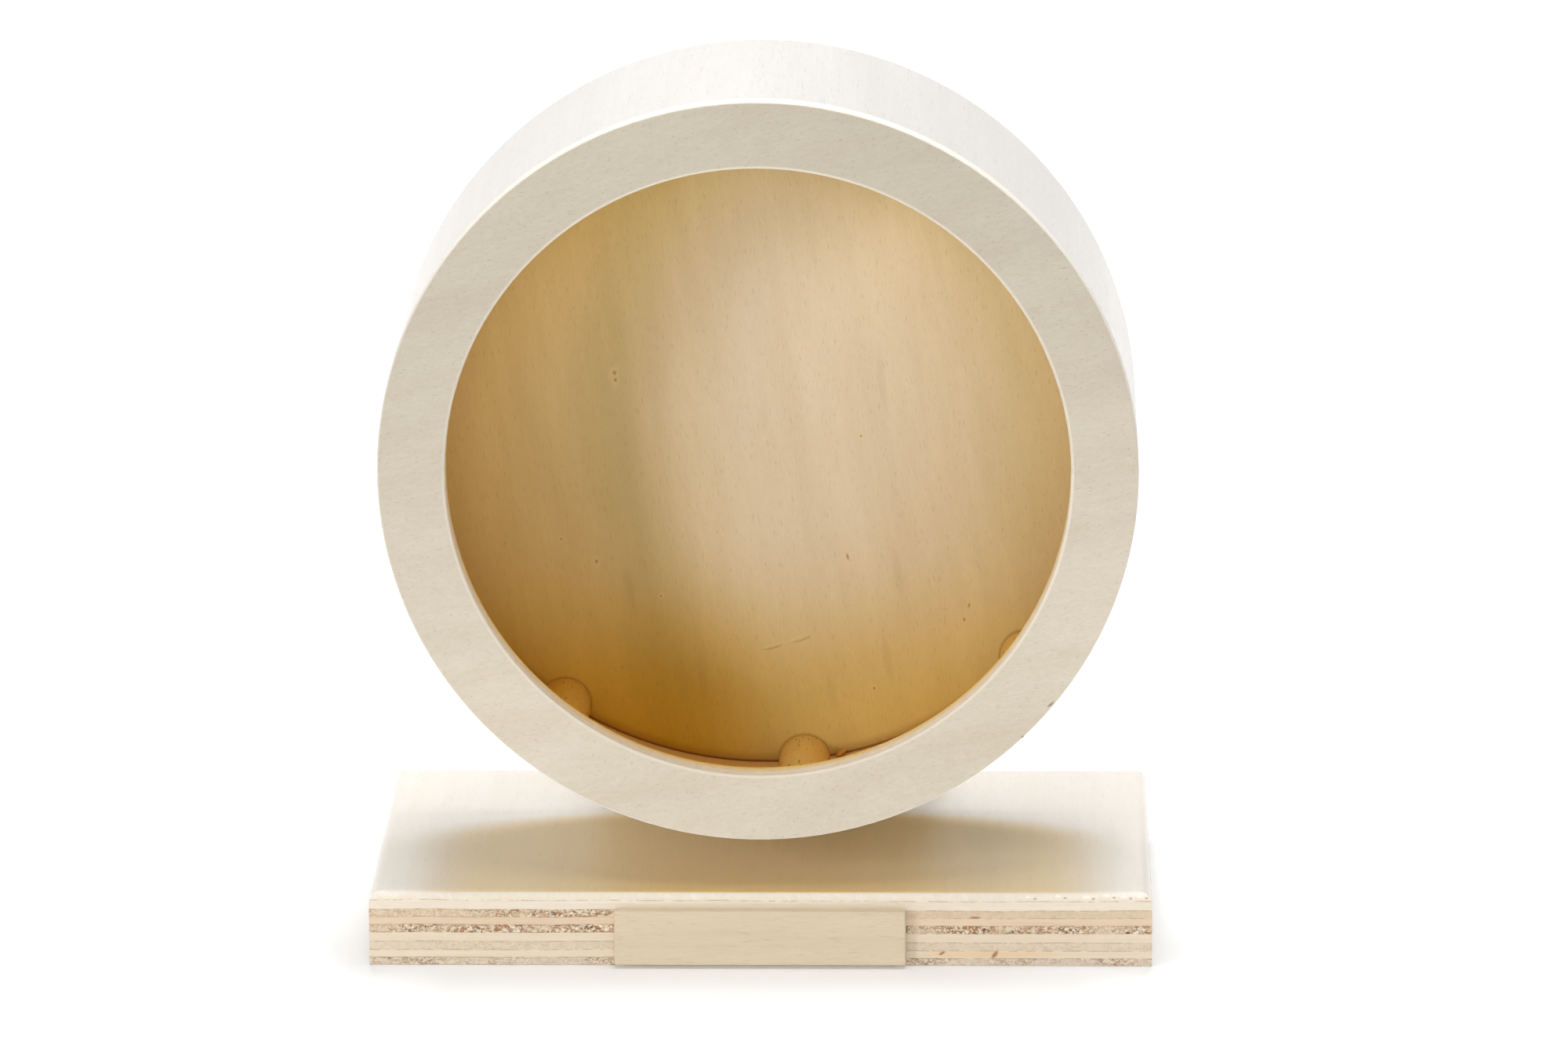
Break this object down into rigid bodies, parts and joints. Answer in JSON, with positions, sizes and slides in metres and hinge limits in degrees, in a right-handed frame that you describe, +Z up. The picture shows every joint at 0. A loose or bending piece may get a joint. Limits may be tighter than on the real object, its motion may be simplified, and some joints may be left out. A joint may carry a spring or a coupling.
{
  "type": "rodent exercise wheel",
  "caption": "Free-standing wooden exercise wheel for a small rodent: a closed-back drum with half-round rungs turns on ball bearings above a plywood base board.",
  "frame": {"origin": "centre of the base board's underside, which rests on the floor", "axes": "+X to the right seen from the mouth, +Y from the mouth to the upright, +Z up"},
  "size_m": [0.208, 0.12, 0.2345],
  "materials": {
    "plywood_board": "sanded, unvarnished, bare ply edges",
    "plywood_panel": "sanded, unvarnished",
    "bent_plywood": "sanded, unvarnished",
    "rung_wood": "turned, unvarnished",
    "block_wood": "turned, unvarnished",
    "plaque_wood": "sanded, unvarnished",
    "zinc_steel": "zinc plated",
    "bearing_steel": "ground and polished",
    "cage_steel": "pressed sheet"
  },
  "bodies": {
    "stand": {"base_board": "plywood_board", "front_plaque": "plaque_wood", "upright_board": "plywood_board", "locating_dowels": "block_wood", "base_screws": "zinc_steel", "axle_bolt": "zinc_steel", "bearing_spacer": "bearing_steel", "spacer_washer": "zinc_steel", "nut_washer": "zinc_steel", "lock_nut": "zinc_steel", "front_bearing_inner_race": "bearing_steel", "rear_bearing_inner_race": "bearing_steel"},
    "wheel": {"front_ring": "plywood_panel", "drum_wall": "bent_plywood", "back_disc": "plywood_panel", "rung_1": "rung_wood", "rung_2": "rung_wood", "rung_3": "rung_wood", "rung_4": "rung_wood", "rung_5": "rung_wood", "rung_6": "rung_wood", "rung_7": "rung_wood", "rung_8": "rung_wood", "rung_9": "rung_wood", "hub_block": "block_wood", "hub_screws": "zinc_steel", "front_bearing_outer_race": "bearing_steel", "front_bearing_shields": "bearing_steel", "rear_bearing_outer_race": "bearing_steel", "rear_bearing_shields": "bearing_steel"},
    "front_ball_set": {"front_bearing_balls": "bearing_steel", "front_bearing_cage": "cage_steel"},
    "rear_ball_set": {"rear_bearing_balls": "bearing_steel", "rear_bearing_cage": "cage_steel"}
  },
  "joints": [
    {"name": "wheel_spin", "type": "hinge", "parent": "stand", "child": "wheel", "pos_m": [0, 0.031, 0.1345], "axis": [0, 1, 0], "continuous": true},
    {"name": "front_cage_spin", "type": "hinge", "parent": "stand", "child": "front_ball_set", "pos_m": [0, 0.031, 0.1345], "axis": [0, 1, 0], "continuous": true},
    {"name": "rear_cage_spin", "type": "hinge", "parent": "stand", "child": "rear_ball_set", "pos_m": [0, 0.031, 0.1345], "axis": [0, 1, 0], "continuous": true}
  ],
  "couplings": [
    {"joint": "front_cage_spin", "follows": "wheel_spin", "ratio": 0.632},
    {"joint": "rear_cage_spin", "follows": "wheel_spin", "ratio": 0.632}
  ]
}
